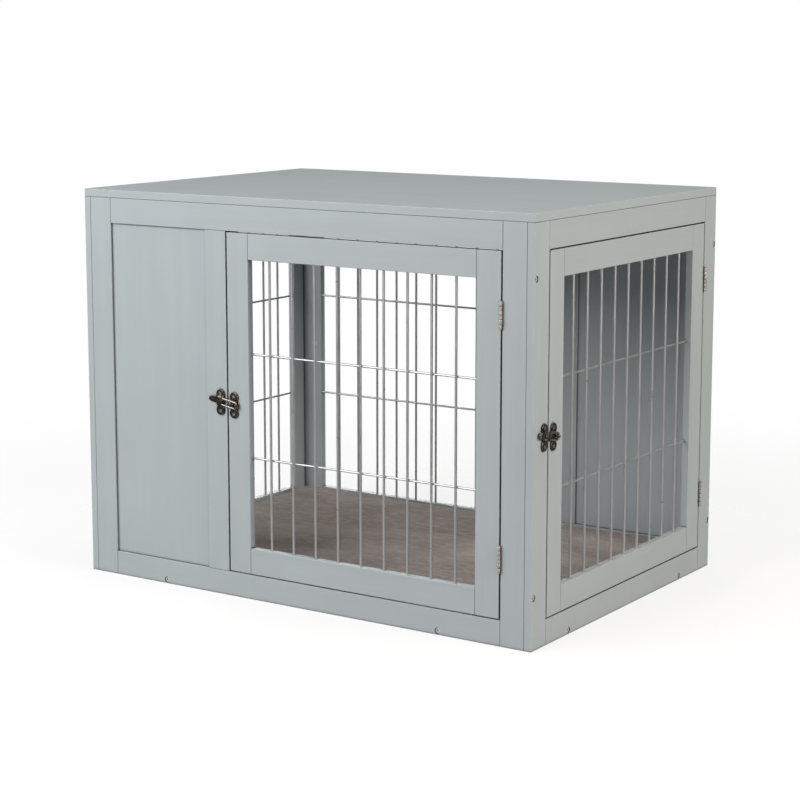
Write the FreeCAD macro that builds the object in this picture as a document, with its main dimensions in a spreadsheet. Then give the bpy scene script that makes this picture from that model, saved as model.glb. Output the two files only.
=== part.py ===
"""Furniture-style dog crate: a boarded carcass with wire grilles, two hinged wire doors with
swing latches, and a floor cushion.

Millimetres, +Z up.  The origin is at the centre of the footprint, on the floor.  -Y is the
front, which holds the wide wire door; +X is the right side, which holds the second door.
Each wall is described in its own coordinates: u runs along the wall from its left end as
seen from outside, d runs inwards from the outer face, and z runs up from the floor.
"""
import FreeCAD, Part
import os
import re
import Sketcher
from FreeCAD import Placement, Rotation, Vector

SIZES = {
    "crate_length": 822, "crate_width": 578, "crate_height": 620,
    "top_thick": 12.5, "board": 12, "edge_radius": 0.9,
    "stile": 41.5, "hinge_stile": 39, "mid_stile": 40, "mid_stile_start": 242.5,
    "top_rail": 40, "bottom_rail": 38.3,
    "panel_thick": 5, "panel_recess": 3.5, "groove": 6,
    "door_gap": 2.4, "level_gap": 1.8, "door_stile": 40, "door_rail": 40,
    "wire_radius": 1.9, "rod_radius": 1.7, "weld_bite": 0.3,
    "wire_grip": 8, "rod_grip": 5, "wire_hole_play": 0.1,
    "front_pitch": 41.3, "side_pitch": 42.2, "back_pitch": 41.7, "left_pitch": 41.25,
    "door_rod_low": 220.5, "door_rod_high": 381,
    "wall_rod_low": 214.7, "wall_rod_high": 392.5,
    "cushion_gap": 2.5, "cushion_thick": 32, "cushion_round": 11,
    "bolt_radius": 3, "bolt_head_radius": 4, "bolt_head_thick": 2.4, "bolt_sink": 1.5,
    "mouth_radius": 4.8, "bolt_end": 40, "bolt_play": 0.15, "bore_room": 0.5, "cut_start": 1,
    "nut_radius": 5, "nut_length": 9.5, "nut_place": 36, "nut_sink": 0.3, "nut_play": 0.1,
    "dowel_radius": 3, "dowel_half": 12, "dowel_edge": 12, "dowel_play": 0.1,
    "socket_radius": 2, "socket_deep": 1.8,
    "bolt_low": 77, "bolt_mid": 304, "bolt_high": 529,
    "rail_bolt_long": 156.5, "rail_bolt_short": 108.7,
    "bracket_leg": 24, "bracket_wide": 16, "bracket_thick": 1.6,
    "bracket_hole": 15, "bracket_screw": 10,
    "screw_radius": 1.4, "screw_head_radius": 2.7, "screw_head_thick": 1.1,
    "drive_radius": 0.45, "drive_half": 1.7,
    "stop_back": 16, "stop_lap": 9, "stop_thick": 9, "stop_low": 52, "stop_room": 0.5,
    "hinge_low": 128, "hinge_high": 476.5, "hinge_length": 38, "hinge_out": 2.8,
    "knuckle_radius": 2.5, "knuckle_gap": 0.7, "knuckle_bite": 0.1,
    "leaf_thick": 0.75, "leaf_deep": 10, "leaf_front": 0.4,
    "leaf_screw": 14, "leaf_screw_deep": 6, "leaf_screw_offset": 12,
    "pin_radius": 1.1, "pin_play": 0.05, "pin_cap_radius": 1.9, "pin_cap": 1.1,
    "latch_height": 301, "latch_tilt": 10, "keeper_up": 2.8, "plate_thick": 2.5, "plate_offset": 13,
    "lobe_radius": 8,
    "lobe_offset": 12, "waist_half": 6, "plate_screw": 12, "plate_screw_offset": 13.6,
    "latch_out": 5.2, "latch_wire": 1.8, "wire_play": 0.05,
    "loop_half": 4.8, "loop_corner": 2.6, "loop_left": 7.9, "loop_pivot": 19.5,
    "lug_half": 3.4, "lug_half_high": 2.2, "cast_bite": 0.5,
    "stud_place": 12.1, "stud_half": 3.2, "stud_half_high": 2.6, "stud_out": 8.6,
    "boss_half": 1.8, "boss_half_high": 2, "boss_out": 4.6, "boss_room": 0.5,
    "lever_place": 11.5, "lever_radius": 6.5, "lever_half": 7, "lever_base": 2.9,
    "tab_half": 4.8, "tab_reach": 27, "tab_thick": 2.6,
    "lip_radius": 1.4, "lip_place": 3.4, "lip_half": 3,
    "plate_round": 0.9, "cast_round": 0.6, "stud_round": 1.2, "lever_round": 1,
    "knuckle_round": 0.9,
}
KNUCKLES = 6
DOOR_BARS = 9
WALL_BARS = 11
NEARLY = 0.01
SKETCH_START = 50

doc = FreeCAD.newDocument("dog_crate")
sheet = doc.addObject("Spreadsheet::Sheet", "Sizes")
for row, (alias, value) in enumerate(SIZES.items(), start=1):
    sheet.set(f"A{row}", alias)
    sheet.set(f"B{row}", str(value))
    sheet.setAlias(f"B{row}", alias)
doc.recompute()

NODES = {}

# The front and back walls' stiles, and the side walls', in order of u.
STILE_NAMES = {
    "front": ("left", "right"), "back": ("right", "left"),
    "right": ("front", "back"), "left": ("back", "front"),
}

# Each wall's turn about Z, and where its point (u, d) lies in X and Y.
WALLS = {
    "front": (0, "-crate_length / 2 + ({u})", "-crate_width / 2 + ({d})"),
    "right": (90, "crate_length / 2 - ({d})", "-crate_width / 2 + ({u})"),
    "back": (180, "crate_length / 2 - ({u})", "crate_width / 2 - ({d})"),
    "left": (270, "-crate_length / 2 + ({d})", "crate_width / 2 - ({u})"),
    # A latch's arm is drawn level about its own pivot, and then set on a wall.
    "arm": (0, "{u}", "{d}"),
}
ALONG = {
    "z": Rotation(),
    "u": Rotation(Vector(0, 1, 0), 90),
    "d": Rotation(Vector(1, 0, 0), -90),
    "u-": Rotation(Vector(0, 1, 0), -90),
    "d-": Rotation(Vector(1, 0, 0), 90),
}


# ---------------------------------------------------------------- helpers

def refs(formula):
    """Turn each bare size name in a formula into a reference to its cell."""
    names = r"\b(" + "|".join(SIZES) + r")\b"
    return re.sub(names, r"Sizes.\1", str(formula))


def bind(thing, formulas):
    for prop, formula in formulas.items():
        thing.setExpression(prop, refs(formula))


def place(thing, wall, u, d, z, turn=Rotation()):
    angle, x, y = WALLS[wall]
    thing.Placement = Placement(Vector(), Rotation(Vector(0, 0, 1), angle) * turn)
    bind(thing, {
        "Placement.Base.x": x.format(u=u, d=d),
        "Placement.Base.y": y.format(u=u, d=d),
        "Placement.Base.z": z,
    })
    return thing


def box(wall, u, d, z, long, deep, high):
    """A block from corner (u, d, z), long along u, deep along d and high along z."""
    block = doc.addObject("Part::Box", "Block")
    bind(block, {"Length": long, "Width": deep, "Height": high})
    return place(block, wall, u, d, z)


def rod(wall, axis, u, d, z, radius, length):
    """A round bar that starts at (u, d, z) and runs along one of the wall's axes."""
    bar = doc.addObject("Part::Cylinder", "Bar")
    bind(bar, {"Radius": radius, "Height": length})
    return place(bar, wall, u, d, z, ALONG[axis])


def cone(wall, axis, u, d, z, radius, end_radius, length):
    taper = doc.addObject("Part::Cone", "Taper")
    bind(taper, {"Radius1": radius, "Radius2": end_radius, "Height": length})
    return place(taper, wall, u, d, z, ALONG[axis])


def fuse(*shapes):
    joined = doc.addObject("Part::MultiFuse", "Joined")
    joined.Shapes = list(shapes)
    return joined


def cut(base, *tools):
    if not tools:
        return base
    left = doc.addObject("Part::Cut", "Cut")
    left.Base = base
    left.Tool = tools[0] if len(tools) == 1 else fuse(*tools)
    return left


def group(shapes):
    several = doc.addObject("Part::Compound", "Group")
    several.Links = list(shapes)
    return several


def rounded(base, radius, outward=None):
    """Round a shape's edges, or only those on its outermost face in one direction."""
    doc.recompute()
    size = float(sheet.get(radius))
    edges = base.Shape.Edges

    def reach(edge):
        return min(point.dot(outward) for point in edge.discretize(5))

    limit = max(map(reach, edges)) - NEARLY if outward else None
    result = doc.addObject("Part::Fillet", "Rounded")
    result.Base = base
    result.Edges = [(number, size, size) for number, edge in enumerate(edges, start=1)
                    if not outward or reach(edge) > limit]
    return result


def outwards(wall):
    """The wall's outward normal."""
    return Rotation(Vector(0, 0, 1), WALLS[wall][0]).multVec(Vector(0, -1, 0))


def board(*corner_and_size):
    return rounded(box(*corner_and_size), "edge_radius")


def solids(pairs):
    """The solids of (solid, hole) pairs."""
    return [solid for solid, _ in pairs]


def holes(pairs):
    return [hole for _, hole in pairs]


def node(name, shape):
    shape.Label = name
    NODES[name] = shape
    return shape


# ---------------------------------------------------------------- slabs: PartDesign

def slab(name, long, wide, base_z, thick, radius):
    """A rectangular slab centred on the origin, with all its edges rounded."""
    body = doc.addObject("PartDesign::Body", name + "_body")
    sketch = body.newObject("Sketcher::SketchObject", name + "_outline")
    planes = [f for f in body.Origin.OriginFeatures if f.Role == "XY_Plane"]
    sketch.AttachmentSupport = [(planes[0], "")]
    sketch.MapMode = "FlatFace"
    corners = [Vector(-1, -1, 0), Vector(1, -1, 0), Vector(1, 1, 0), Vector(-1, 1, 0)]
    for start, end in zip(corners, corners[1:] + corners[:1]):
        line = Part.LineSegment(start * SKETCH_START, end * SKETCH_START)
        sketch.addGeometry(line, False)
    for side in range(4):
        sketch.addConstraint(Sketcher.Constraint("Coincident", side, 2, (side + 1) % 4, 1))
    for side, kind in enumerate(("Horizontal", "Vertical", "Horizontal", "Vertical")):
        sketch.addConstraint(Sketcher.Constraint(kind, side))
    sketch.addConstraint(Sketcher.Constraint("Symmetric", 0, 1, 2, 1, -1, 1))
    drawn = 2 * SKETCH_START
    length = sketch.addConstraint(Sketcher.Constraint("DistanceX", 0, 1, 0, 2, drawn))
    width = sketch.addConstraint(Sketcher.Constraint("DistanceY", 1, 1, 1, 2, drawn))
    bind(sketch, {f"Constraints[{length}]": long, f"Constraints[{width}]": wide})
    pad = body.newObject("PartDesign::Pad", name + "_pad")
    pad.Profile = sketch
    bind(pad, {"Length": thick, "TaperAngle": "0"})
    bind(body, {"Placement.Base.z": base_z})
    doc.recompute()
    faces = [f"Face{number}" for number, _ in enumerate(pad.Shape.Faces, start=1)]
    fillet = body.newObject("PartDesign::Fillet", name + "_round")
    fillet.Base = (pad, faces)
    bind(fillet, {"Radius": radius})
    return body


# ---------------------------------------------------------------- fasteners

def frame_bolt(wall, u, z):
    """A socket bolt sunk below the board's face, and the stepped hole that it sits in."""
    head = rod(wall, "d", u, "bolt_sink", z, "bolt_head_radius", "bolt_head_thick")
    socket = doc.addObject("Part::Prism", "Socket")
    socket.Polygon = 6
    bind(socket, {"Circumradius": "socket_radius", "Height": "socket_deep"})
    place(socket, wall, u, "bolt_sink", z, ALONG["d"])
    shank_start = "bolt_sink + bolt_head_thick"
    shank = rod(wall, "d", u, shank_start, z, "bolt_radius", "bolt_end - bolt_sink"
                " - bolt_head_thick")
    bolt = cut(fuse(head, shank), socket)
    mouth = rod(wall, "d", u, "-cut_start", z, "mouth_radius", "cut_start + " + shank_start)
    bore = rod(wall, "d", u, "0", z, "bolt_radius + bolt_play", "bolt_end + bore_room")
    return bolt, fuse(mouth, bore)


def barrel_nut(wall, end, z, bolt_hole):
    """A cross dowel let into the inner face of the front or back frame, across the bolt."""
    axis, sign, face = ("u-", -1, "board") if end == "low" else \
        ("u", 1, "(crate_width - board)")
    body = rod(wall, axis, f"{face} + ({sign}) * nut_sink", "nut_place", z, "nut_radius",
               "nut_length")
    hole = rod(wall, axis, f"{face} - ({sign}) * cut_start", "nut_place", z,
               "nut_radius + nut_play", "nut_length + nut_sink + cut_start")
    return cut(body, bolt_hole), hole


def screw(wall, axis, u, d, z, length):
    """A countersunk screw with a cross recess and its head's face at (u, d, z), and its hole."""
    head = cone(wall, axis, u, d, z, "screw_head_radius", "screw_radius", "screw_head_thick")
    shank = rod(wall, axis, u, d, z, "screw_radius", length)
    plain = fuse(head, shank)
    slots = []
    for across in "udz".replace(axis[0], ""):
        start = {"u": u, "d": d, "z": z}
        start[across] += " - drive_half"
        slots.append(rod(wall, across, start["u"], start["d"], start["z"], "drive_radius",
                         "2 * drive_half"))
    return cut(plain, *slots), plain


def dowel(wall, axis, u, z):
    """A dowel centred on a butt joint, half in each board, and the hole that it fills."""
    start = {"u": u, "z": z}
    start[axis] += " - dowel_half"
    length = "2 * dowel_half"
    pin = rod(wall, axis, start["u"], "board / 2", start["z"], "dowel_radius", length)
    hole = rod(wall, axis, start["u"], "board / 2", start["z"],
               "dowel_radius + dowel_play", length)
    return pin, hole


def rail_dowels(wall, rail_ends, rails):
    """Two dowels at each end of a frame's rails, each rail given as its base and height."""
    return [dowel(wall, "u", u, z) for u in rail_ends for base, high in rails
            for z in (f"{base} + dowel_edge", f"{base} + {high} - dowel_edge")]


# ---------------------------------------------------------------- grilles

def wires(wall, start, end, low, high, count, pitch, rods, play="0"):
    """Upright bars at mid thickness with two cross rods welded on their inner side."""
    parts = []
    for index in range(count):
        middle = f"(({start}) + ({end})) / 2 + ({index - (count - 1) / 2}) * {pitch}"
        parts.append(rod(wall, "z", middle, "board / 2", f"({low}) - wire_grip",
                         f"wire_radius + {play}", f"({high}) - ({low}) + 2 * wire_grip"))
    depth = "board / 2 + wire_radius + rod_radius - weld_bite"
    for height in rods:
        parts.append(rod(wall, "u", f"({start}) - rod_grip", depth, height,
                         f"rod_radius + {play}", f"({end}) - ({start}) + 2 * rod_grip"))
    return fuse(*parts)


def grille(*shape):
    """The welded grille, and the slightly wider shape that its holes in the wood have."""
    return wires(*shape), wires(*shape, play="wire_hole_play")


# ---------------------------------------------------------------- walls

UNDER_TOP = "crate_height - top_thick"
RAIL_Z = "crate_height - top_thick - top_rail"
OPEN_HIGH = "crate_height - top_thick - top_rail - bottom_rail"
SIDE_END = "crate_width - board / 2"

bolts, nuts, floor_cuts, frame_pins = [], [], [], []
post_cuts = {"front_low": [], "front_high": [], "back_low": [], "back_high": []}
stile_cuts = {}


def bolt_corner(wall, end, post, heights):
    """Bolts through a side wall's stile into the edge of the front or back frame."""
    u = "board / 2" if end == "low" else SIDE_END
    for height in heights:
        bolt, hole = frame_bolt(wall, u, height)
        nut, nut_hole = barrel_nut(wall, end, height, hole)
        bolts.append(bolt)
        nuts.append(nut)
        stile_cuts.setdefault((wall, end), []).append(hole)
        post_cuts[post] += [hole, nut_hole]


def bolt_floor(wall, length, inset):
    """Two bolts through a wall's bottom rail into the edge of the floor board."""
    holes = []
    for u in (inset, f"{length} - {inset}"):
        bolt, hole = frame_bolt(wall, u, "board / 2")
        nut = rod(wall, "z", u, "nut_place", "board - nut_length - nut_sink", "nut_radius",
                  "nut_length")
        nut_hole = rod(wall, "z", u, "nut_place", "board - nut_length - nut_sink",
                       "nut_radius + nut_play", "nut_length + nut_sink + cut_start")
        bolts.append(bolt)
        nuts.append(cut(nut, hole))
        floor_cuts.extend([hole, nut_hole])
        holes.append(hole)
    return holes


brackets, bracket_screws, top_cuts = [], [], []


def bracket(wall, u):
    """A steel corner bracket under the top board, with its two screws."""
    upright = box(wall, f"{u} - bracket_wide / 2", "board", UNDER_TOP + " - bracket_leg",
                  "bracket_wide", "bracket_thick", "bracket_leg")
    flat = box(wall, f"{u} - bracket_wide / 2", "board", UNDER_TOP + " - bracket_thick",
               "bracket_wide", "bracket_leg", "bracket_thick")
    side, side_hole = screw(wall, "d-", u, "board + bracket_thick",
                            UNDER_TOP + " - bracket_hole", "bracket_screw")
    up, up_hole = screw(wall, "z", u, "board + bracket_hole", UNDER_TOP + " - bracket_thick",
                        "bracket_screw")
    brackets.append(cut(fuse(upright, flat), side_hole, up_hole))
    bracket_screws.extend([side, up])
    top_cuts.append(up_hole)
    return side_hole


def panel_frame(wall, right_cuts):
    """The long frame that the front and back share: stiles, rails, mid stile and panel."""
    length = "crate_length"
    low_stile = board(wall, "board", "0", "0", "stile", "board", UNDER_TOP)
    high_stile = board(wall, f"{length} - board - hinge_stile", "0", "0", "hinge_stile",
                       "board", UNDER_TOP)
    span = f"{length} - 2 * board - stile - hinge_stile"
    top = board(wall, "board + stile", "0", RAIL_Z, span, "board", "top_rail")
    bottom = board(wall, "board + stile", "0", "0", span, "board", "bottom_rail")
    mid = board(wall, "mid_stile_start", "0", "bottom_rail", "mid_stile", "board", OPEN_HIGH)
    panel = box(wall, "board + stile - groove", "panel_recess", "bottom_rail - groove",
                "mid_stile_start - board - stile + 2 * groove", "panel_thick",
                OPEN_HIGH + " + 2 * groove")
    node(wall + "_panel", panel)
    top_screw = bracket(wall, f"{length} / 2")
    floor_holes = bolt_floor(wall, length, "rail_bolt_long")
    ends = ("board + stile", f"{length} - board - hinge_stile")
    dowels = rail_dowels(wall, ends, (("0", "bottom_rail"), (RAIL_Z, "top_rail")))
    dowels += [dowel(wall, "z", f"mid_stile_start + {inset}", z)
               for inset in ("dowel_edge", "mid_stile - dowel_edge")
               for z in ("bottom_rail", RAIL_Z)]
    frame_pins.extend(solids(dowels))
    bores = holes(dowels)
    low, high = STILE_NAMES[wall]
    node(f"{wall}_{low}_stile",
         cut(low_stile, panel, *post_cuts[wall + "_low"], *bores))
    node(f"{wall}_{high}_stile",
         cut(high_stile, *post_cuts[wall + "_high"], *right_cuts["stile"], *bores))
    node(wall + "_top_rail", cut(top, panel, top_screw, *right_cuts["rail"], *bores))
    node(wall + "_bottom_rail",
         cut(bottom, panel, *floor_holes, *right_cuts["rail"], *bores))
    node(wall + "_mid_stile", cut(mid, panel, *right_cuts["mid"], *bores))


def side_frame(wall, high_stile_width, cuts):
    """The short frame of the left and right walls, which covers the ends of the others."""
    length = "crate_width"
    low_stile = board(wall, "0", "0", "0", "stile", "board", UNDER_TOP)
    high_stile = board(wall, f"{length} - {high_stile_width}", "0", "0", high_stile_width,
                       "board", UNDER_TOP)
    span = f"{length} - stile - {high_stile_width}"
    top = board(wall, "stile", "0", RAIL_Z, span, "board", "top_rail")
    bottom = board(wall, "stile", "0", "0", span, "board", "bottom_rail")
    top_screw = bracket(wall, f"{length} / 2")
    floor_holes = bolt_floor(wall, length, "rail_bolt_short")
    dowels = rail_dowels(wall, ("stile", f"{length} - {high_stile_width}"),
                         (("0", "bottom_rail"), (RAIL_Z, "top_rail")))
    frame_pins.extend(solids(dowels))
    bores = holes(dowels)
    low, high = STILE_NAMES[wall]
    node(f"{wall}_{low}_stile",
         cut(low_stile, *stile_cuts[(wall, "low")], *cuts["low"], *bores))
    node(f"{wall}_{high}_stile",
         cut(high_stile, *stile_cuts[(wall, "high")], *cuts["high"], *bores))
    node(wall + "_top_rail", cut(top, top_screw, *cuts["rail"], *bores))
    node(wall + "_bottom_rail", cut(bottom, *floor_holes, *cuts["rail"], *bores))


def door_stop(wall, edge):
    """A strip behind a door's latch side, from the stile beside it, and clear of the door."""
    high = f"{RAIL_Z} - stop_low"
    strip = box(wall, f"{edge} - stop_back", "board", "stop_low", "stop_back + stop_lap",
                "stop_thick", high)
    rebate = box(wall, edge, "board - cut_start", "stop_low", "stop_lap",
                 "cut_start + stop_room", high)
    return cut(strip, rebate)


# ---------------------------------------------------------------- hinges

def hinge(wall, axis_u, centre, side):
    """One leaf of a butt hinge with its knuckles; side is +1 on the frame, -1 on the door."""
    low = f"{centre} - hinge_length / 2"
    step = f"hinge_length / {KNUCKLES}"
    leaf_u = f"{axis_u} + door_gap / 2 - leaf_thick" if side > 0 else \
        f"{axis_u} - door_gap / 2"
    parts = [box(wall, leaf_u, "leaf_front", low, "leaf_thick", "leaf_deep - leaf_front",
                 "hinge_length")]
    for index in range(0 if side > 0 else 1, KNUCKLES, 2):
        start = f"{low} + {index} * {step} + knuckle_gap / 2"
        high = f"{step} - knuckle_gap"
        knuckle = rod(wall, "z", axis_u, "-hinge_out", start, "knuckle_radius", high)
        parts.append(rounded(knuckle, "knuckle_round"))
        parts.append(box(wall, leaf_u, "-hinge_out", start, "leaf_thick",
                         "hinge_out + leaf_front + knuckle_bite", high))
    play = "0" if side > 0 else "pin_play"
    bore = rod(wall, "z", axis_u, "-hinge_out", low, f"pin_radius + {play}", "hinge_length")
    face = f"{axis_u} + ({side}) * (door_gap / 2 - leaf_thick)"
    screws = [screw(wall, "u" if side > 0 else "u-", face, "leaf_screw_deep",
                    f"{centre} + ({end}) * leaf_screw_offset", "leaf_screw")
              for end in (-1, 1)]
    return cut(fuse(*parts), bore, *holes(screws)), screws


def hinge_pin(wall, axis_u, centre):
    low = f"{centre} - hinge_length / 2"
    shaft = rod(wall, "z", axis_u, "-hinge_out", f"{low} - pin_cap", "pin_radius",
                "hinge_length + 2 * pin_cap")
    caps = [rod(wall, "z", axis_u, "-hinge_out", start, "pin_cap_radius", "pin_cap")
            for start in (f"{low} - pin_cap", f"{low} + hinge_length")]
    return fuse(shaft, *caps)


# ---------------------------------------------------------------- latches

def latch_plate(wall, u, up="0"):
    """A cast plate with two round lobes and a narrower waist, rounded on its outer edge."""
    middle = f"latch_height + {up}"
    lobes = [rod(wall, "d-", u, "0", f"{middle} + ({side}) * lobe_offset",
                 "lobe_radius", "plate_thick") for side in (-1, 1)]
    waist = box(wall, f"{u} - waist_half", "-plate_thick", f"{middle} - lobe_offset",
                "2 * waist_half", "plate_thick", "2 * lobe_offset")
    return rounded(fuse(*lobes, waist), "plate_round", outwards(wall))


def plate_screws(wall, u, up="0"):
    """Two screws through a latch plate; their heads are countersunk in its face."""
    return [screw(wall, "d", u, "-plate_thick",
                  f"latch_height + {up} + ({end}) * plate_screw_offset", "plate_screw")
            for end in (-1, 1)]


def on_pivot(wall, centre_u, shape):
    """Set a shape drawn about a latch's pivot on its wall, tilted as the latch hangs."""
    tilt = Rotation(Vector(0, 1, 0), float(sheet.get("latch_tilt")))
    return place(group([shape]), wall, f"{centre_u} + loop_pivot", "0", "latch_height", tilt)


def standing(u, out, half):
    """A block from inside a plate's face out to a lug's or boss's centre."""
    return box("arm", f"{u} - {half}", f"-{out}", f"-{half}_high", f"2 * {half}",
               f"{out} - plate_thick + cast_bite", f"2 * {half}_high")


def latch_keeper(wall, centre_u):
    """The frame's plate with the small boss that the lever closes over."""
    plate = latch_plate(wall, f"{centre_u} - plate_offset", "keeper_up")
    boss_u = "-loop_pivot - plate_offset"
    boss = rod("arm", "z", boss_u, "-boss_out", "-boss_half_high", "boss_half",
               "2 * boss_half_high")
    raised = fuse(boss, standing(boss_u, "boss_out", "boss_half"))
    return fuse(plate, on_pivot(wall, centre_u, raised))


def latch_hook(wall, centre_u):
    """The door's plate with the lug that carries the loop, and the stud inside the loop."""
    plate = latch_plate(wall, f"{centre_u} + plate_offset")
    lug = rod("arm", "z", "0", "-latch_out", "-lug_half_high", "lug_half",
              "2 * lug_half_high")
    knob = rounded(standing("stud_place - loop_pivot", "stud_out", "stud_half"),
                   "stud_round", outwards("arm"))
    bore = rod("arm", "z", "0", "-latch_out", "-lobe_offset", "latch_wire + wire_play",
               "2 * lobe_offset")
    raised = fuse(rounded(lug, "cast_round"), standing("0", "latch_out", "lug_half"), knob)
    return fuse(plate, on_pivot(wall, centre_u, cut(raised, bore)))


def latch_loop(play="0"):
    """A closed loop of round wire, drawn about its right end, which hangs in the lug."""
    left = "-loop_pivot - loop_left"
    radius = f"latch_wire + {play}"
    parts = []
    for z in ("-loop_half", "loop_half"):
        parts.append(rod("arm", "u", f"{left} + loop_corner", "-latch_out", z, radius,
                         "loop_left + loop_pivot - 2 * loop_corner"))
    for u in (left, "0"):
        parts.append(rod("arm", "z", u, "-latch_out", "-loop_half + loop_corner", radius,
                         "2 * loop_half - 2 * loop_corner"))
    corners = [("-loop_corner", "loop_half - loop_corner", 0),
               (f"{left} + loop_corner", "loop_half - loop_corner", 90),
               (f"{left} + loop_corner", "-loop_half + loop_corner", 180),
               ("-loop_corner", "-loop_half + loop_corner", 270)]
    for u, z, angle in corners:
        bend = doc.addObject("Part::Torus", "Bend")
        bind(bend, {"Radius1": "loop_corner", "Radius2": radius, "Angle3": "90"})
        place(bend, "arm", u, "-latch_out", z,
              ALONG["d-"] * Rotation(Vector(0, 0, 1), angle))
        parts.append(bend)
    return fuse(*parts)


def latch_lever():
    """The half-round lever cast round the loop's left end, with its thumb tab and a lip."""
    lever_u = "-loop_pivot - lever_place"
    drum = rounded(rod("arm", "z", lever_u, "-lever_base", "-lever_half", "lever_radius",
                       "2 * lever_half"), "lever_round")
    behind = box("arm", f"{lever_u} - lever_radius", "-lever_base", "-lever_half",
                 "2 * lever_radius", "lever_radius", "2 * lever_half")
    tab_u = "-loop_pivot - tab_reach"
    web = box("arm", tab_u, "-latch_out - tab_thick / 2", "-tab_half",
              "tab_reach - lever_place", "tab_thick", "2 * tab_half")
    thumb = rod("arm", "d-", tab_u, "-latch_out + tab_thick / 2", "0", "tab_half",
                "tab_thick")
    lip = rod("arm", "z", f"{tab_u} - lip_place", "-latch_out - tab_thick / 2",
              "-lip_half", "lip_radius", "2 * lip_half")
    hollow = box("arm", "-loop_pivot - plate_offset - boss_half - boss_room",
                 "-boss_out - boss_half - boss_room", "-boss_half_high - boss_room",
                 "2 * boss_half + 2 * boss_room", "boss_out + boss_half + boss_room",
                 "2 * boss_half_high + 2 * boss_room")
    tab = rounded(fuse(web, thumb), "cast_round", outwards("arm"))
    return cut(fuse(drum, tab, rounded(lip, "cast_round")), behind, hollow,
               latch_loop("wire_play"))


# ---------------------------------------------------------------- doors

def door(wall, name, start, end, pitch):
    """A framed wire door in the opening from u = start to u = end, hinged at its end."""
    left, right = f"({start} + door_gap)", f"({end} - door_gap)"
    low, high = "(bottom_rail + level_gap)", f"({RAIL_Z} - level_gap)"
    axis_u = f"({end} - door_gap / 2)"
    latch_u = f"({start} + door_gap / 2)"
    tall = f"{high} - {low}"
    shape, wire_holes = grille(wall, f"{left} + door_stile", f"{right} - door_stile",
                               f"{low} + door_rail", f"{high} - door_rail", DOOR_BARS,
                               pitch, ("door_rod_low", "door_rod_high"))
    node(name + "_grille", shape)
    frame_leaves, door_leaves, frame_screws, door_screws, pins = [], [], [], [], []
    for centre in ("hinge_low", "hinge_high"):
        leaf, screws = hinge(wall, axis_u, centre, 1)
        frame_leaves.append(leaf)
        frame_screws += screws
        leaf, screws = hinge(wall, axis_u, centre, -1)
        door_leaves.append(leaf)
        door_screws += screws
        pins.append(hinge_pin(wall, axis_u, centre))
    hook_screws = plate_screws(wall, f"{latch_u} + plate_offset")
    keeper_screws = plate_screws(wall, f"{latch_u} - plate_offset", "keeper_up")
    latch_stile = board(wall, left, "0", low, "door_stile", "board", tall)
    hinge_stile = board(wall, f"{right} - door_stile", "0", low, "door_stile", "board", tall)
    between = f"{right} - {left} - 2 * door_stile"
    top = board(wall, f"{left} + door_stile", "0", f"{high} - door_rail", between, "board",
                "door_rail")
    bottom = board(wall, f"{left} + door_stile", "0", low, between, "board", "door_rail")
    dowels = rail_dowels(wall, (f"{left} + door_stile", f"{right} - door_stile"),
                         ((low, "door_rail"), (f"{high} - door_rail", "door_rail")))
    node(name + "_dowels", group(solids(dowels)))
    bores = [wire_holes] + holes(dowels)
    node(name + "_latch_stile", cut(latch_stile, *bores, *holes(hook_screws)))
    node(name + "_hinge_stile", cut(hinge_stile, *bores, *holes(door_screws)))
    node(name + "_top_rail", cut(top, *bores))
    node(name + "_bottom_rail", cut(bottom, *bores))
    short = name.replace("_door", "")
    node(short + "_hinge_frame_leaves", group(frame_leaves))
    node(short + "_hinge_door_leaves", group(door_leaves))
    node(short + "_hinge_pins", group(pins))
    node(short + "_door_screws", group(solids(door_screws + hook_screws)))
    node(short + "_latch_hook", cut(latch_hook(wall, latch_u), *holes(hook_screws)))
    node(short + "_latch_keeper", cut(latch_keeper(wall, latch_u), *holes(keeper_screws)))
    node(short + "_latch_loop", on_pivot(wall, latch_u, latch_loop()))
    node(short + "_latch_lever", on_pivot(wall, latch_u, latch_lever()))
    return frame_screws, keeper_screws


# ---------------------------------------------------------------- assembly

for side in ("left", "right"):
    heights = ["bolt_low", "bolt_high"] + (["bolt_mid"] if side == "left" else [])
    low_post, high_post = {"right": ("front_high", "back_low"),
                           "left": ("back_high", "front_low")}[side]
    bolt_corner(side, "low", low_post, heights)
    bolt_corner(side, "high", high_post, heights)

BACK_START = "mid_stile_start + mid_stile"
BACK_END = "(crate_length - board - hinge_stile)"
front_frame_screws, front_keeper_screws = door("front", "front_door", BACK_START, BACK_END,
                                               "front_pitch")
side_frame_screws, side_keeper_screws = door("right", "side_door", "stile",
                                             "(crate_width - hinge_stile)", "side_pitch")
back_shape, back_holes = grille("back", BACK_START, BACK_END, "bottom_rail", RAIL_Z,
                                WALL_BARS, "back_pitch", ("wall_rod_low", "wall_rod_high"))
node("back_grille", back_shape)
left_shape, left_holes = grille("left", "stile", "(crate_width - stile)", "bottom_rail",
                                RAIL_Z, WALL_BARS, "left_pitch",
                                ("wall_rod_low", "wall_rod_high"))
node("left_grille", left_shape)

panel_frame("front", {"stile": holes(front_frame_screws), "rail": [],
                      "mid": holes(front_keeper_screws)})
panel_frame("back", {"stile": [back_holes], "rail": [back_holes], "mid": [back_holes]})
side_frame("right", "hinge_stile", {"low": holes(side_keeper_screws),
                                    "high": holes(side_frame_screws), "rail": []})
side_frame("left", "stile",
           {"low": [left_holes], "high": [left_holes], "rail": [left_holes]})

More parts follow.
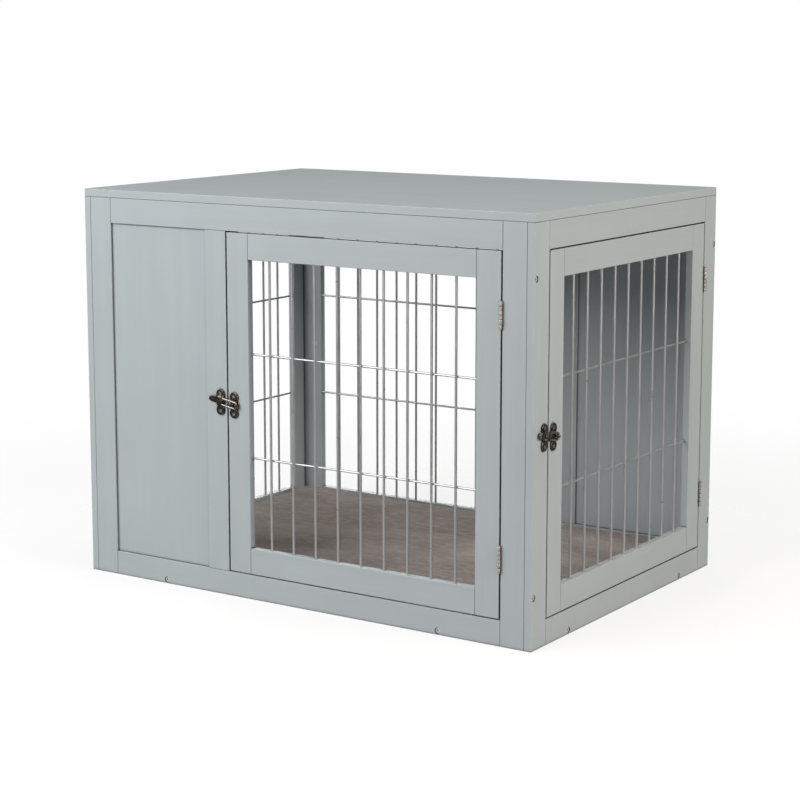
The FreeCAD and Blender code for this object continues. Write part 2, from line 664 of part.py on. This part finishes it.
floor = slab("floor", "crate_length - 2 * board", "crate_width - 2 * board", "0", "board",
             "edge_radius")
node("floor_board", cut(floor, *floor_cuts))
top_slab = slab("top", "crate_length", "crate_width", UNDER_TOP, "top_thick", "edge_radius")
node("top_board", cut(top_slab, *top_cuts))
node("cushion", slab("pad", "crate_length - 2 * board - 2 * cushion_gap",
                     "crate_width - 2 * board - 2 * cushion_gap", "board", "cushion_thick",
                     "cushion_round"))
node("frame_bolts", group(bolts))
node("barrel_nuts", group(nuts))
node("frame_dowels", group(frame_pins))
node("top_brackets", group(brackets))
node("top_bracket_screws", group(bracket_screws))
node("frame_screws", group(solids(front_frame_screws + side_frame_screws
                                  + front_keeper_screws + side_keeper_screws)))
node("door_stops", group([door_stop("front", BACK_START), door_stop("right", "stile")]))

doc.recompute()
faults = [thing.Name for thing in doc.Objects if {"Invalid", "Error"} & set(thing.State)]
if faults:
    raise SystemExit("failed objects: " + ", ".join(faults))
for name, thing in NODES.items():
    if thing.Shape.isNull() or not thing.Shape.isValid():
        raise SystemExit("bad shape: " + name)

os.makedirs("parts", exist_ok=True)
for name, thing in NODES.items():
    thing.Shape.exportStep(f"parts/{name}.step")
print(len(NODES), "nodes written")
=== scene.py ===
"""Looks for the dog crate: satin paint, plated steel, a stuffed suede cushion and a studio.

Sizes are in metres, in the crate's own frame: +Z up, -Y the front, +X the side door.
"""
import math

import bmesh
import bpy
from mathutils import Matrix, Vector, noise


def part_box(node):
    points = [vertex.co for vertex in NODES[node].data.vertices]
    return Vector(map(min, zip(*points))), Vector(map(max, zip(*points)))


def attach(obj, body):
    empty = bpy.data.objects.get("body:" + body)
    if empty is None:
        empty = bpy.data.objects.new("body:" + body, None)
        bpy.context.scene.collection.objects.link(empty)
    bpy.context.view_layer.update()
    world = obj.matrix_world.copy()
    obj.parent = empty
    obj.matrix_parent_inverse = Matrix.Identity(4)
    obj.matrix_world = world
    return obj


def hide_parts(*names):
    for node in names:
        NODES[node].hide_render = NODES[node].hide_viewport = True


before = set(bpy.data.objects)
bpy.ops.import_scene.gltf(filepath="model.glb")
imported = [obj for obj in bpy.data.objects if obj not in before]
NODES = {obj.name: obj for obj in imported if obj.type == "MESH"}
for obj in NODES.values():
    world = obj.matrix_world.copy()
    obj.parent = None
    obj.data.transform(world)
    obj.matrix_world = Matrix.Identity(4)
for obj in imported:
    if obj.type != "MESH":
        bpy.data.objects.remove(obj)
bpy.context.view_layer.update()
MM = 0.001

# ---------------------------------------------------------------- colours, linear RGB

PAINT = (0.408, 0.450, 0.460)
WIRE = (0.62, 0.63, 0.64)
NICKEL = (0.86, 0.83, 0.75)
NICKEL_DULL = (0.44, 0.40, 0.33)
PATINA = (0.045, 0.037, 0.030)
ANTIQUE = (0.34, 0.31, 0.27)
WORN = (0.86, 0.83, 0.77)
ZINC = (0.88, 0.88, 0.88)
BEECH = (0.56, 0.38, 0.21)
BEECH_DARK = (0.42, 0.26, 0.13)
SUEDE = (0.278, 0.242, 0.224)
SUEDE_DARK = (0.130, 0.111, 0.103)
SUEDE_LIGHT = (0.440, 0.396, 0.376)


# ---------------------------------------------------------------- node helpers

def add(tree, kind, inputs=None, **settings):
    """Add a shader node; inputs holds plain values, or sockets to link, by input name."""
    made = tree.nodes.new(kind)
    for name, value in settings.items():
        setattr(made, name, value)
    for name, value in (inputs or {}).items():
        if isinstance(value, bpy.types.NodeSocket):
            tree.links.new(value, made.inputs[name])
        else:
            made.inputs[name].default_value = value
    return made


def placed(tree, stretch=(1, 1, 1)):
    """The piece's own coordinates in metres, squeezed by a factor along each axis."""
    source = add(tree, "ShaderNodeTexCoord").outputs["Object"]
    return add(tree, "ShaderNodeMapping", {"Vector": source, "Scale": stretch}).outputs[0]


def clouds(tree, vector, size, detail=3.0, roughness=0.55, distortion=0.0):
    """Smooth noise from 0 to 1 whose blotches are about size metres wide."""
    made = add(tree, "ShaderNodeTexNoise", {
        "Vector": vector, "Scale": 1 / size, "Detail": detail, "Roughness": roughness,
        "Distortion": distortion})
    return made.outputs[0]


def spread(tree, value, low, high, from_low=0.25, from_high=0.75):
    """Map a value's range, by default the usual one of a noise, to low..high."""
    made = add(tree, "ShaderNodeMapRange", {
        "Value": value, "From Min": from_low, "From Max": from_high,
        "To Min": low, "To Max": high})
    return made.outputs[0]


def blend(tree, share, first, second):
    """Go from the first colour to the second as share goes from 0 to 1."""
    made = add(tree, "ShaderNodeMix", data_type="RGBA")
    for index, value in ((0, share), (6, first), (7, second)):
        if isinstance(value, bpy.types.NodeSocket):
            tree.links.new(value, made.inputs[index])
        else:
            made.inputs[index].default_value = (*value, 1) if index else value
    return made.outputs[2]


def times(tree, colour, *factors):
    """A colour multiplied by each of some plain brightness factors."""
    for factor in factors:
        made = add(tree, "ShaderNodeVectorMath", operation="SCALE")
        if isinstance(colour, bpy.types.NodeSocket):
            tree.links.new(colour, made.inputs[0])
        else:
            made.inputs[0].default_value = colour
        tree.links.new(factor, made.inputs["Scale"])
        colour = made.outputs[0]
    return colour


def relief(tree, *layers):
    """Bumps laid on each other; each layer is a height from 0 to 1 and its depth."""
    normal = None
    for height, depth in layers:
        inputs = {"Height": height, "Distance": depth, "Strength": 1.0}
        if normal:
            inputs["Normal"] = normal
        normal = add(tree, "ShaderNodeBump", inputs).outputs[0]
    return normal


def painted_gap_shade(tree, reach, darkest, shut=0.25, exposed=0.95):
    """Painted shade from occlusion: 1 on open faces, down to darkest in gaps and corners no
    wider than reach.

    shut and exposed are the amounts of open sky that count as a closed gap and an open face.
    """
    # painted shade: colour darkened by how closed in a point is, not a dirt or paint tone
    made = add(tree, "ShaderNodeAmbientOcclusion", {"Distance": reach}, samples=8)
    return spread(tree, made.outputs["AO"], darkest, 1.0, shut, exposed)


def rubbed_edges(tree, radius):
    """1 along edges and corners, over a width of about radius, and 0 on flat faces."""
    soft = add(tree, "ShaderNodeBevel", {"Radius": radius}, samples=6).outputs[0]
    true = add(tree, "ShaderNodeNewGeometry").outputs["True Normal"]
    match = add(tree, "ShaderNodeVectorMath", {0: soft, 1: true}, operation="DOT_PRODUCT")
    return spread(tree, match.outputs["Value"], 1.0, 0.0, 0.80, 0.985)


def finish_of(name, fill, **shader):
    """A material whose colour, roughness and normal come from fill(tree).

    The other settings name the shader's inputs, with underscores for spaces.
    """
    made = bpy.data.materials.new(name)
    made.use_nodes = True
    tree = made.node_tree
    surface = tree.nodes["Principled BSDF"]
    for socket, value in shader.items():
        surface.inputs[socket.replace("_", " ")].default_value = value
    for socket, source in fill(tree).items():
        tree.links.new(source, surface.inputs[socket])
    return made


# ---------------------------------------------------------------- materials

def painted_wood(name, axis):
    """Satin paint over a planed board whose grain runs along one axis."""
    def fill(tree):
        along = [1.0, 1.0, 1.0]
        along["XYZ".index(axis)] = 0.035
        grain = placed(tree, along)
        here = placed(tree)
        streaks = clouds(tree, grain, 3.2 * MM, 4, 0.6)
        bands = clouds(tree, grain, 14 * MM, 2, 0.5)
        mottle = clouds(tree, here, 90 * MM, 3, 0.5)
        peel = clouds(tree, here, 1.6 * MM, 2, 0.5)
        # the two occlusion factors are painted shade: they darken the paint in door gaps,
        # board joints and recesses
        colour = times(tree, PAINT, spread(tree, streaks, 0.985, 1.012),
                       spread(tree, bands, 0.985, 1.015), spread(tree, mottle, 0.975, 1.02),
                       painted_gap_shade(tree, 5 * MM, 0.12), painted_gap_shade(tree, 1.6 * MM, 0.35, 0.45, 0.98))
        return {"Base Color": colour,
                "Roughness": spread(tree, bands, 0.40, 0.50),
                "Normal": relief(tree, (streaks, 0.035 * MM), (peel, 0.018 * MM))}
    return finish_of(name, fill, Specular_IOR_Level=0.5)


def plated(name, bright, dull, patches, rough, dents, metallic=1.0):
    """Plated metal: bright and dull patches, fine specks and a faintly uneven surface."""
    def fill(tree):
        here = placed(tree)
        blotch = clouds(tree, here, patches, 5, 0.62)
        specks = clouds(tree, here, 0.7 * MM, 3, 0.7)
        share = spread(tree, blotch, 0.0, 1.0, 0.38, 0.62)
        # the occlusion factor is painted shade, darkening recesses, sockets and knuckle gaps
        colour = times(tree, blend(tree, share, bright, dull),
                       spread(tree, specks, 0.93, 1.05), painted_gap_shade(tree, 1.2 * MM, 0.15))
        return {"Base Color": colour,
                "Roughness": spread(tree, blotch, rough[0], rough[1], 0.35, 0.65),
                "Normal": relief(tree, (specks, dents))}
    return finish_of(name, fill, Metallic=metallic)


def drawn_wire(name):
    """Zinc-plated wire with the long fine lines that drawing leaves."""
    def fill(tree):
        upright = placed(tree, (1, 1, 0.02))
        here = placed(tree)
        lines = clouds(tree, upright, 0.5 * MM, 3, 0.6)
        bloom = clouds(tree, here, 25 * MM, 4, 0.6)
        colour = times(tree, WIRE, spread(tree, lines, 0.95, 1.03),
                       spread(tree, bloom, 0.94, 1.03))
        return {"Base Color": colour,
                "Roughness": spread(tree, bloom, 0.26, 0.38),
                "Normal": relief(tree, (lines, 0.02 * MM))}
    return finish_of(name, fill, Metallic=0.8)


def antique(name, wear):
    """Cast metal, darkened in its hollows by patina and painted shade, and rubbed bright along
    its edges.

    wear is the range of the blotches over which the patina gives way to metal.
    """
    def fill(tree):
        here = placed(tree)
        blotch = clouds(tree, here, 4.5 * MM, 5, 0.65, 0.6)
        grit = clouds(tree, here, 0.6 * MM, 3, 0.7)
        bare = spread(tree, blotch, 0.0, 1.0, *wear)
        rubbed = rubbed_edges(tree, 0.7 * MM)
        body = blend(tree, bare, PATINA, ANTIQUE)
        # the occlusion factor darkens the hollows: partly patina, partly painted shade
        colour = times(tree, blend(tree, rubbed, body, WORN), spread(tree, grit, 0.88, 1.08),
                       painted_gap_shade(tree, 2.5 * MM, 0.25))
        return {"Base Color": colour,
                "Roughness": spread(tree, blotch, 0.36, 0.22, 0.35, 0.65),
                "Normal": relief(tree, (blotch, 0.14 * MM), (grit, 0.03 * MM))}
    return finish_of(name, fill, Metallic=1.0)


def bare_beech(name):
    """Unpainted beech with darker flecks and fine fibres."""
    def fill(tree):
        here = placed(tree)
        fibres = clouds(tree, here, 0.9 * MM, 4, 0.6)
        flecks = clouds(tree, here, 5 * MM, 3, 0.6)
        share = spread(tree, flecks, 0.0, 1.0)
        colour = times(tree, blend(tree, share, BEECH, BEECH_DARK),
                       spread(tree, fibres, 0.9, 1.06))
        return {"Base Color": colour,
                "Roughness": spread(tree, flecks, 0.6, 0.75),
                "Normal": relief(tree, (fibres, 0.05 * MM))}
    return finish_of(name, fill)


def suede(name):
    """Short-napped microfibre: brushed patches, long strokes of the nap and fine fibres."""
    def fill(tree):
        here = placed(tree)
        strokes = clouds(tree, placed(tree, (0.5, 1, 1)), 9 * MM, 5, 0.66, 0.7)
        patches = clouds(tree, placed(tree, (0.5, 1, 1)), 120 * MM, 3, 0.55, 0.4)
        sweeps = clouds(tree, placed(tree, (0.55, 1, 1)), 62 * MM, 4, 0.6, 1.2)
        fibres = clouds(tree, here, 0.8 * MM, 4, 0.75)
        pile = clouds(tree, here, 2.6 * MM, 3, 0.6)
        colour = blend(tree, spread(tree, patches, 0.0, 1.0, 0.36, 0.62), SUEDE, SUEDE_DARK)
        colour = blend(tree, spread(tree, strokes, 0.0, 0.55, 0.45, 0.75), colour, SUEDE_LIGHT)
        colour = times(tree, colour, spread(tree, fibres, 0.76, 1.20),
                       spread(tree, pile, 0.92, 1.07), spread(tree, sweeps, 0.84, 1.17))
        return {"Base Color": colour,
                "Roughness": spread(tree, strokes, 0.82, 0.95),
                "Normal": relief(tree, (strokes, 0.5 * MM), (pile, 0.25 * MM),
                                 (fibres, 0.12 * MM))}
    return finish_of(name, fill, Sheen_Weight=0.35, Sheen_Roughness=0.4,
                     Sheen_Tint=(0.75, 0.66, 0.62, 1), Specular_IOR_Level=0.25)


PAINT_ALONG = {axis: painted_wood("satin_paint_" + axis, axis) for axis in "XYZ"}
FINISHES = {
    "grille": drawn_wire("zinc_wire"),
    "hinge": plated("nickel_plate", NICKEL, NICKEL_DULL, 6 * MM, (0.24, 0.40), 0.03 * MM, 0.7),
    "cast": antique("antique_nickel", (0.42, 0.70)),
    "loop": antique("antique_nickel_worn", (0.12, 0.34)),
    "screw": plated("nickel_screw", WORN, NICKEL_DULL, 2 * MM, (0.20, 0.34), 0.02 * MM),
    "bolt": plated("zinc_bolt", ZINC, WIRE, 3 * MM, (0.28, 0.42), 0.04 * MM, 0.45),
    "bracket": plated("zinc_sheet", ZINC, WIRE, 9 * MM, (0.32, 0.48), 0.03 * MM),
    "dowel": bare_beech("bare_beech"),
    "suede": suede("taupe_suede"),
}


def finish_for(name):
    """The finish of a node of the frame, told from its name; a board's grain runs along it."""
    if name.endswith("grille"):
        return FINISHES["grille"]
    if "hinge" in name and "stile" not in name:
        return FINISHES["hinge"]
    if "loop" in name:
        return FINISHES["loop"]
    if name.endswith(("door_screws", "frame_screws")):
        return FINISHES["screw"]
    if "latch" in name and "stile" not in name:
        return FINISHES["cast"]
    if name in ("frame_bolts", "barrel_nuts"):
        return FINISHES["bolt"]
    if "bracket" in name:
        return FINISHES["bracket"]
    if name.endswith("dowels"):
        return FINISHES["dowel"]
    if "stile" in name or "panel" in name or name == "door_stops":
        return PAINT_ALONG["Z"]
    sideways = name.startswith(("left", "right", "side"))
    return PAINT_ALONG["Y" if sideways else "X"]


def dress(piece, material):
    """Give a piece one material and no other."""
    piece.data.materials.clear()
    piece.data.materials.append(material)


for name, node in NODES.items():
    dress(node, finish_for(name))


# ---------------------------------------------------------------- new pieces

def new_piece(name, mesh, material, body):
    """Put a mesh in the scene as a piece that rides on a body."""
    piece = bpy.data.objects.new(name, mesh)
    bpy.context.scene.collection.objects.link(piece)
    dress(piece, material)
    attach(piece, body)
    return piece


def mesh_from(name, build, smooth=True):
    """A mesh made by build(bm)."""
    bm = bmesh.new()
    build(bm)
    mesh = bpy.data.meshes.new(name)
    bm.to_mesh(mesh)
    bm.free()
    for face in mesh.polygons:
        face.use_smooth = smooth
    return mesh


# ---------------------------------------------------------------- cushion

PAD_LOW, PAD_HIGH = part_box("cushion")
PAD_MID = (PAD_LOW + PAD_HIGH) / 2
PAD_HALF = (PAD_HIGH - PAD_LOW) / 2
PAD_INSET, PAD_TOP_INSET = 5 * MM, 7 * MM
PAD_CORNER, PAD_EDGE = 22 * MM, 7 * MM
PAD_BOW = 3 * MM
PAD_WALL_GAP, PAD_FLOOR_GAP = 0.6 * MM, 0.2 * MM
EDGE_STEPS, CORNER_STEPS, SIDE_STEPS = 4, 12, 40
VOXEL = 5.5 * MM

STUFFING_FRAMES = 20
STUFFING_PRESSURE = 4.0
CLOTH_STRETCH, CLOTH_BEND = 20, 4
CLOTH_GROWTH = 0.012
MOST_MOVED = 9 * MM

WAVE_HIGH, RIPPLE_HIGH = 0.9 * MM, 0.45 * MM
WAVE_FADE = 30 * MM
SEAM_DEEP, SEAM_WIDE = 2.2 * MM, 4.5 * MM
SEAM_FROM_X, SEAM_FROM_Y = 0.975, 0.965


def pad_outline():
    """Points round the pad, anticlockwise: round corners, and sides that bow inwards."""
    straight_x = PAD_HALF.x - PAD_INSET - PAD_CORNER
    straight_y = PAD_HALF.y - PAD_INSET - PAD_CORNER
    points = []
    corners = [(1, -1, -90), (1, 1, 0), (-1, 1, 90), (-1, -1, 180)]
    for index, (side_x, side_y, start) in enumerate(corners):
        for step in range(CORNER_STEPS + 1):
            turn = math.radians(start + 90 * step / CORNER_STEPS)
            points.append((side_x * straight_x + PAD_CORNER * math.cos(turn),
                           side_y * straight_y + PAD_CORNER * math.sin(turn)))
        next_x, next_y, _ = corners[(index + 1) % 4]
        along_y = next_x == side_x
        end_x = next_x * straight_x + (side_x * PAD_CORNER if along_y else 0)
        end_y = next_y * straight_y + (0 if along_y else side_y * PAD_CORNER)
        begin_x, begin_y = points[-1]
        for step in range(1, SIDE_STEPS):
            share = step / SIDE_STEPS
            bow = PAD_BOW * math.sin(math.pi * share) ** 2
            x = begin_x + (end_x - begin_x) * share
            y = begin_y + (end_y - begin_y) * share
            if along_y:
                x -= side_x * bow
            else:
                y -= side_y * bow
            points.append((x, y))
    return points


def pad_blank(bm):
    """The cut pad before it is stuffed: a flat slab with rounded edges."""
    top = PAD_HIGH.z - PAD_TOP_INSET
    turns = [math.radians(90 * step / EDGE_STEPS) for step in range(EDGE_STEPS + 1)]
    rings = [(PAD_EDGE * (1 - math.sin(turn)), PAD_LOW.z + PAD_EDGE * (1 - math.cos(turn)))
             for turn in turns]
    rings += [(PAD_EDGE * (1 - math.cos(turn)), top - PAD_EDGE * (1 - math.sin(turn)))
              for turn in turns]
    outline = pad_outline()
    loops = []
    for inwards, z in rings:
        loops.append([bm.verts.new((PAD_MID.x + x * (1 - inwards / PAD_HALF.x),
                                    PAD_MID.y + y * (1 - inwards / PAD_HALF.y), z))
                      for x, y in outline])
    count = len(outline)
    for lower, upper in zip(loops, loops[1:]):
        for i in range(count):
            j = (i + 1) % count
            bm.faces.new((lower[i], lower[j], upper[j], upper[i]))
    bm.faces.new(list(reversed(loops[0])))
    bm.faces.new(loops[-1])


def apply_modifiers(piece):
    """Make what a piece's modifiers do part of its mesh."""
    graph = bpy.context.evaluated_depsgraph_get()
    mesh = bpy.data.meshes.new_from_object(piece.evaluated_get(graph))
    piece.modifiers.clear()
    piece.data = mesh


def stuff(piece):
    """Blow the pad up with cloth pressure, then hold back what moved too far."""
    start = [vertex.co.copy() for vertex in piece.data.vertices]
    cloth = piece.modifiers.new("cloth", "CLOTH")
    settings = cloth.settings
    settings.use_pressure = True
    settings.uniform_pressure_force = STUFFING_PRESSURE
    settings.effector_weights.gravity = 0
    settings.tension_stiffness = settings.compression_stiffness = CLOTH_STRETCH
    settings.bending_stiffness = CLOTH_BEND
    settings.shrink_min = -CLOTH_GROWTH
    cloth.point_cache.frame_end = STUFFING_FRAMES
    for step in range(1, STUFFING_FRAMES + 1):
        bpy.context.scene.frame_set(step)
    apply_modifiers(piece)
    for vertex, before in zip(piece.data.vertices, start):
        moved = vertex.co - before
        if moved.length > MOST_MOVED:
            moved *= MOST_MOVED / moved.length
        vertex.co = before + moved
    bpy.context.scene.frame_set(1)


def settle(piece):
    """Keep the pad on the floor board and off the walls, ruffle its top and sew its seam."""
    limit_x, limit_y = PAD_HALF.x - PAD_WALL_GAP, PAD_HALF.y - PAD_WALL_GAP
    for vertex in piece.data.vertices:
        x, y, z = vertex.co - PAD_MID
        above = max(0.0, z / PAD_HALF.z)
        waves = noise.noise(Vector((x * 5, y * 17, 0.3)))
        ripple = noise.noise(Vector((x * 11 + 4, y * 38, 1.7)))
        inside = min(1.0, (PAD_HALF.x - abs(x)) / WAVE_FADE, (PAD_HALF.y - abs(y)) / WAVE_FADE)
        z += above * inside * (WAVE_HIGH * waves + RIPPLE_HIGH * ripple)
        groove = SEAM_DEEP * math.exp(-(z / SEAM_WIDE) ** 2 * 4)
        if abs(x) / PAD_HALF.x > SEAM_FROM_X:
            x -= math.copysign(groove, x)
        if abs(y) / PAD_HALF.y > SEAM_FROM_Y:
            y -= math.copysign(groove, y)
        x = max(-limit_x, min(limit_x, x))
        y = max(-limit_y, min(limit_y, y))
        vertex.co = PAD_MID + Vector((x, y, z))
        vertex.co.z = max(PAD_LOW.z + PAD_FLOOR_GAP, min(PAD_HIGH.z, vertex.co.z))


def make_cushion():
    """The stuffed cushion, in place of the plain solid."""
    mesh = mesh_from("cushion_cover", pad_blank)
    piece = new_piece("cushion_cover", mesh, FINISHES["suede"], "carcass")
    remesh = piece.modifiers.new("remesh", "REMESH")
    remesh.mode = "VOXEL"
    remesh.voxel_size = VOXEL
    apply_modifiers(piece)
    stuff(piece)
    settle(piece)
    for face in piece.data.polygons:
        face.use_smooth = True
    soften = piece.modifiers.new("soften", "SUBSURF")
    soften.levels = soften.render_levels = 1
    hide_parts("cushion")


make_cushion()


# ---------------------------------------------------------------- studio

SKY, GROUND = 0.14, 0.13
SKY_FROM, SKY_TO = -0.2, 0.8
FLOOR_RADIUS = 1.9
FLOOR_FADE_FROM, FLOOR_FADE_TO = 0.55, 1.7
FLOOR_BODY = 0.28
FLOOR_DROP = 0.3 * MM
FLOOR_WHITE = (0.95, 0.95, 0.95, 1)

CAMERA_PLACE = (1.8059, -2.7144, 0.8655)
CAMERA_YAW, CAMERA_TILT = 33.683, 8.886
CAMERA_LENS, CAMERA_SENSOR = 92.32, 36
CAMERA_SHIFT = -0.06

# name, place, aim, size, watts, colour
LIGHTS = (
    ("front", (-0.5, -2.6, 1.35), (0, 0, 0.35), (1.5, 1.0), 37, (1.0, 0.985, 0.995)),
    ("left", (-1.5, -1.9, 1.5), (-0.2, 0, 0.4), (1.2, 1.0), 27, (0.99, 0.985, 0.995)),
    ("right", (2.6, -0.2, 1.25), (0.2, 0, 0.35), (1.5, 1.0), 53, (1.0, 0.94, 0.86)),
    ("card", (1.3, -2.1, 0.3), (0.35, -0.3, 0.1), (1.0, 0.4), 3, (1.0, 0.985, 1.0)),
    ("back", (-1.9, 2.5, 0.42), (0, 0, 0.3), (1.8, 0.5), 27, (1.0, 1.0, 1.0)),
    ("overhead", (0, 0.1, 3.0), (0, 0, 0), (2.2, 1.8), 33, (1, 1, 1)),
)


def area_light(name, place, aim, size, power, colour):
    """A rectangular softbox at place that faces the point aim."""
    lamp = bpy.data.lights.new(name, "AREA")
    lamp.shape = "RECTANGLE"
    lamp.size, lamp.size_y = size
    lamp.energy = power
    lamp.color = colour
    made = bpy.data.objects.new(name, lamp)
    made.location = place
    made.rotation_euler = (Vector(aim) - Vector(place)).to_track_quat("-Z", "Y").to_euler()
    bpy.context.scene.collection.objects.link(made)


def studio_world():
    """A white room for the eye, and a dim one that lights the crate."""
    world = bpy.data.worlds.new("studio")
    world.use_nodes = True
    tree = world.node_tree
    tree.nodes.clear()
    direction = add(tree, "ShaderNodeTexCoord").outputs["Generated"]
    height = add(tree, "ShaderNodeSeparateXYZ", {0: direction}).outputs["Z"]
    level = add(tree, "ShaderNodeMapRange", {
        "Value": height, "From Min": SKY_FROM, "From Max": SKY_TO,
        "To Min": GROUND, "To Max": SKY})
    seen = add(tree, "ShaderNodeLightPath").outputs["Is Camera Ray"]
    strength = add(tree, "ShaderNodeMix", {0: seen, 2: level.outputs[0], 3: 1.0})
    surface = add(tree, "ShaderNodeBackground",
                  {"Color": (1, 1, 1, 1), "Strength": strength.outputs[0]})
    out = add(tree, "ShaderNodeOutputWorld")
    tree.links.new(surface.outputs[0], out.inputs[0])
    bpy.context.scene.world = world


def studio_floor():
    """A pale round floor, half lost in the white room and fading out into it."""
    def disc(bm):
        bmesh.ops.create_circle(bm, cap_ends=True, radius=FLOOR_RADIUS, segments=96)
    mesh = mesh_from("floor", disc, smooth=False)
    floor = bpy.data.objects.new("floor", mesh)
    floor.location.z = -FLOOR_DROP
    bpy.context.scene.collection.objects.link(floor)
    material = bpy.data.materials.new("floor")
    material.use_nodes = True
    tree = material.node_tree
    surface = tree.nodes["Principled BSDF"]
    surface.inputs["Base Color"].default_value = FLOOR_WHITE
    surface.inputs["Roughness"].default_value = 0.9
    surface.inputs["Specular IOR Level"].default_value = 0.1
    away = add(tree, "ShaderNodeVectorMath", {0: placed(tree)}, operation="LENGTH")
    share = add(tree, "ShaderNodeMapRange", {
        "Value": away.outputs["Value"], "From Min": FLOOR_FADE_FROM, "From Max": FLOOR_FADE_TO,
        "To Min": FLOOR_BODY, "To Max": 0.0}, interpolation_type="SMOOTHSTEP")
    clear = add(tree, "ShaderNodeBsdfTransparent")
    mix = add(tree, "ShaderNodeMixShader", {0: share.outputs[0]})
    tree.links.new(clear.outputs[0], mix.inputs[1])
    tree.links.new(surface.outputs[0], mix.inputs[2])
    tree.links.new(mix.outputs[0], tree.nodes["Material Output"].inputs["Surface"])
    dress(floor, material)


def camera():
    """The camera: it stands off the front right corner and looks slightly down."""
    lens = bpy.data.cameras.new("camera")
    lens.lens = CAMERA_LENS
    lens.sensor_width = CAMERA_SENSOR
    lens.shift_y = CAMERA_SHIFT
    made = bpy.data.objects.new("camera", lens)
    made.location = CAMERA_PLACE
    made.rotation_euler = (math.radians(90 - CAMERA_TILT), 0, math.radians(CAMERA_YAW))
    bpy.context.scene.collection.objects.link(made)
    bpy.context.scene.camera = made


camera()
studio_world()
studio_floor()
for light in LIGHTS:
    area_light(*light)
bpy.context.scene.view_settings.view_transform = "Standard"
